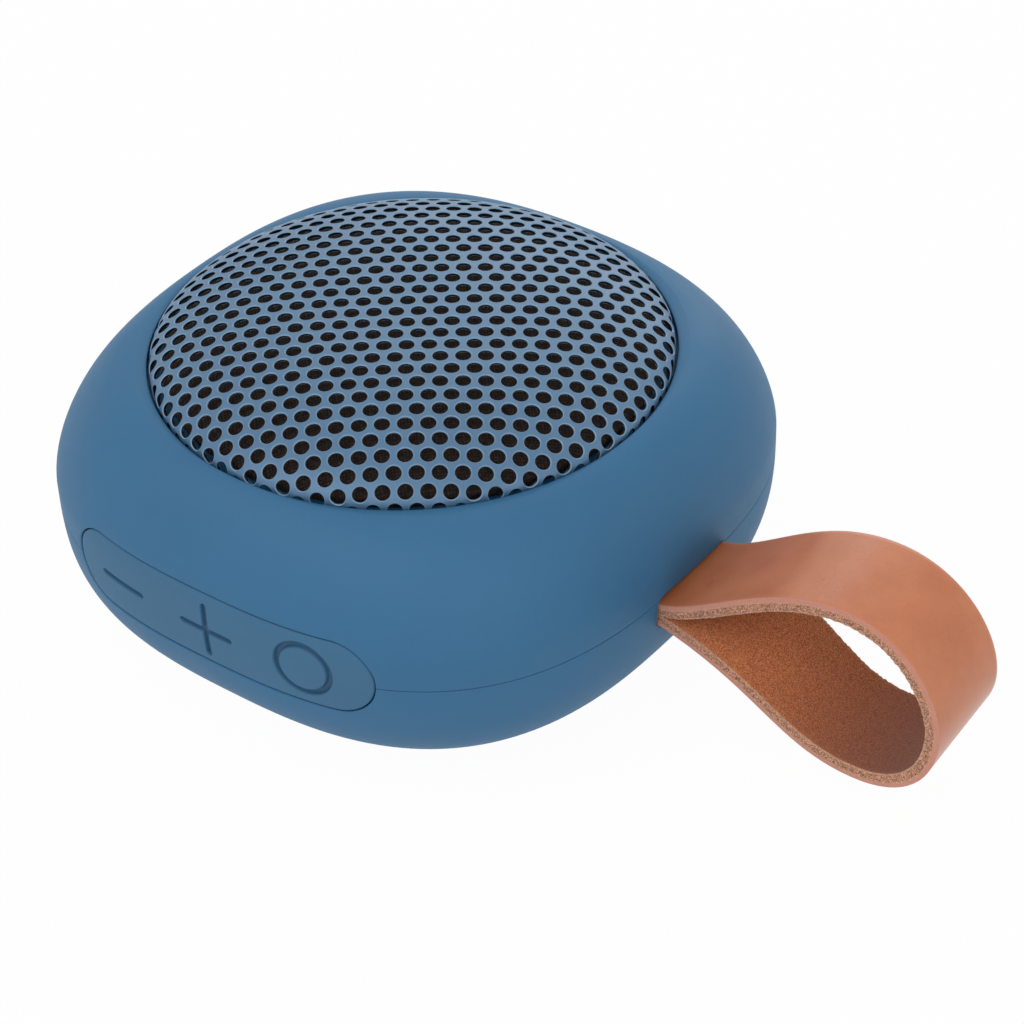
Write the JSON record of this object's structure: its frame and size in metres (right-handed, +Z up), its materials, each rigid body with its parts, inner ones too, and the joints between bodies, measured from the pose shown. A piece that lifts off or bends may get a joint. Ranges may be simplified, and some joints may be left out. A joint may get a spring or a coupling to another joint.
{
  "type": "pocket wireless speaker",
  "caption": "Soft-square pocket speaker with a round domed perforated grille, a front key strip and a leather carrying loop.",
  "frame": {"origin": "centre of the foot pad's flat underside, on the surface it rests on", "axes": "+Z up through the middle of the grille; -Y towards the front with the keys; +X towards the side with the leather loop"},
  "size_m": [0.1345, 0.0921, 0.0474],
  "materials": {
    "case_blue": "matte soft-touch coating over moulded plastic",
    "strip_blue": "matte silicone, slightly greyer than the case",
    "grille_blue": "satin painted perforated steel",
    "leather_tan": "smooth tan face, raw suede back, cut edges",
    "cloth_black": "thin acoustic cloth",
    "rubber_black": "matte moulded rubber",
    "steel": "plated pressed steel",
    "screw_black": "black oxide steel",
    "ferrite": "matte sintered ferrite",
    "cone_paper": "black treated paper",
    "copper": "copper wire and spring alloy",
    "board_green": "green solder mask over glass-epoxy board",
    "cell_wrap": "silver foil pouch",
    "plastic_black": "moulded black plastic",
    "foam_black": "closed-cell foam",
    "lead_red": "insulated wire",
    "spider_tan": "resin-treated woven cotton"
  },
  "bodies": {
    "case": {"upper_housing": "case_blue", "lower_housing": "case_blue", "housing_seal": "rubber_black", "foot_pad": "rubber_black", "grille": "grille_blue", "grille_cloth": "cloth_black", "button_strip": "strip_blue", "button_board": "board_green", "switch_minus": "plastic_black", "switch_plus": "plastic_black", "switch_power": "plastic_black", "strap_tail_upper": "leather_tan", "strap_tail_lower": "leather_tan", "strap_clamp": "steel", "strap_screw_front": "screw_black", "strap_screw_rear": "screw_black", "driver_gasket": "foam_black", "driver_basket": "steel", "driver_surround": "rubber_black", "spider": "spider_tan", "top_plate": "steel", "magnet": "ferrite", "yoke": "steel", "driver_screw_front": "screw_black", "driver_screw_right": "screw_black", "driver_screw_rear": "screw_black", "driver_screw_left": "screw_black", "main_board": "board_green", "bluetooth_module": "steel", "amplifier_chip": "plastic_black", "inductor": "ferrite", "microphone": "steel", "capacitor": "plastic_black", "usb_socket": "steel", "battery": "cell_wrap", "battery_pad": "foam_black", "battery_lead": "lead_red", "speaker_lead": "plastic_black", "button_lead": "foam_black", "board_screw_1": "screw_black", "board_screw_2": "screw_black", "button_board_screw_left": "screw_black", "button_board_screw_right": "screw_black", "case_screw_front_left": "screw_black", "case_screw_front_right": "screw_black", "case_screw_rear_left": "screw_black", "case_screw_rear_right": "screw_black"},
    "key_minus_body": {"key_minus": "strip_blue", "switch_stem_minus": "copper"},
    "key_plus_body": {"key_plus": "strip_blue", "switch_stem_plus": "copper"},
    "key_power_body": {"key_power": "strip_blue", "switch_stem_power": "copper"},
    "loop": {"strap_loop": "leather_tan"},
    "cone": {"driver_cone": "cone_paper", "dust_cap": "cone_paper", "voice_coil": "copper"},
    "port_flap": {"port_cover": "strip_blue"}
  },
  "joints": [
    {"name": "minus_press", "type": "slide", "parent": "case", "child": "key_minus_body", "axis": [0, 1, 0], "range_m": [0, 0.00025], "stiffness_N_per_m": 2000},
    {"name": "plus_press", "type": "slide", "parent": "case", "child": "key_plus_body", "axis": [0, 1, 0], "range_m": [0, 0.00025], "stiffness_N_per_m": 2000},
    {"name": "power_press", "type": "slide", "parent": "case", "child": "key_power_body", "axis": [0, 1, 0], "range_m": [0, 0.00025], "stiffness_N_per_m": 2000},
    {"name": "loop_bend", "type": "hinge", "parent": "case", "child": "loop", "pos_m": [0.046, 0.0009, 0.0184], "axis": [0, -1, 0], "range_deg": [-8, 24], "stiffness_Nm_per_rad": 0.05},
    {"name": "cone_stroke", "type": "slide", "parent": "case", "child": "cone", "axis": [0, 0, 1], "range_m": [-0.0012, 0.0012], "stiffness_N_per_m": 900, "deforming": ["driver_surround", "spider"]},
    {"name": "port_open", "type": "hinge", "parent": "case", "child": "port_flap", "pos_m": [0, 0.0443, 0.0112], "axis": [-1, 0, 0], "range_deg": [0, 105], "stiffness_Nm_per_rad": 0.002}
  ]
}
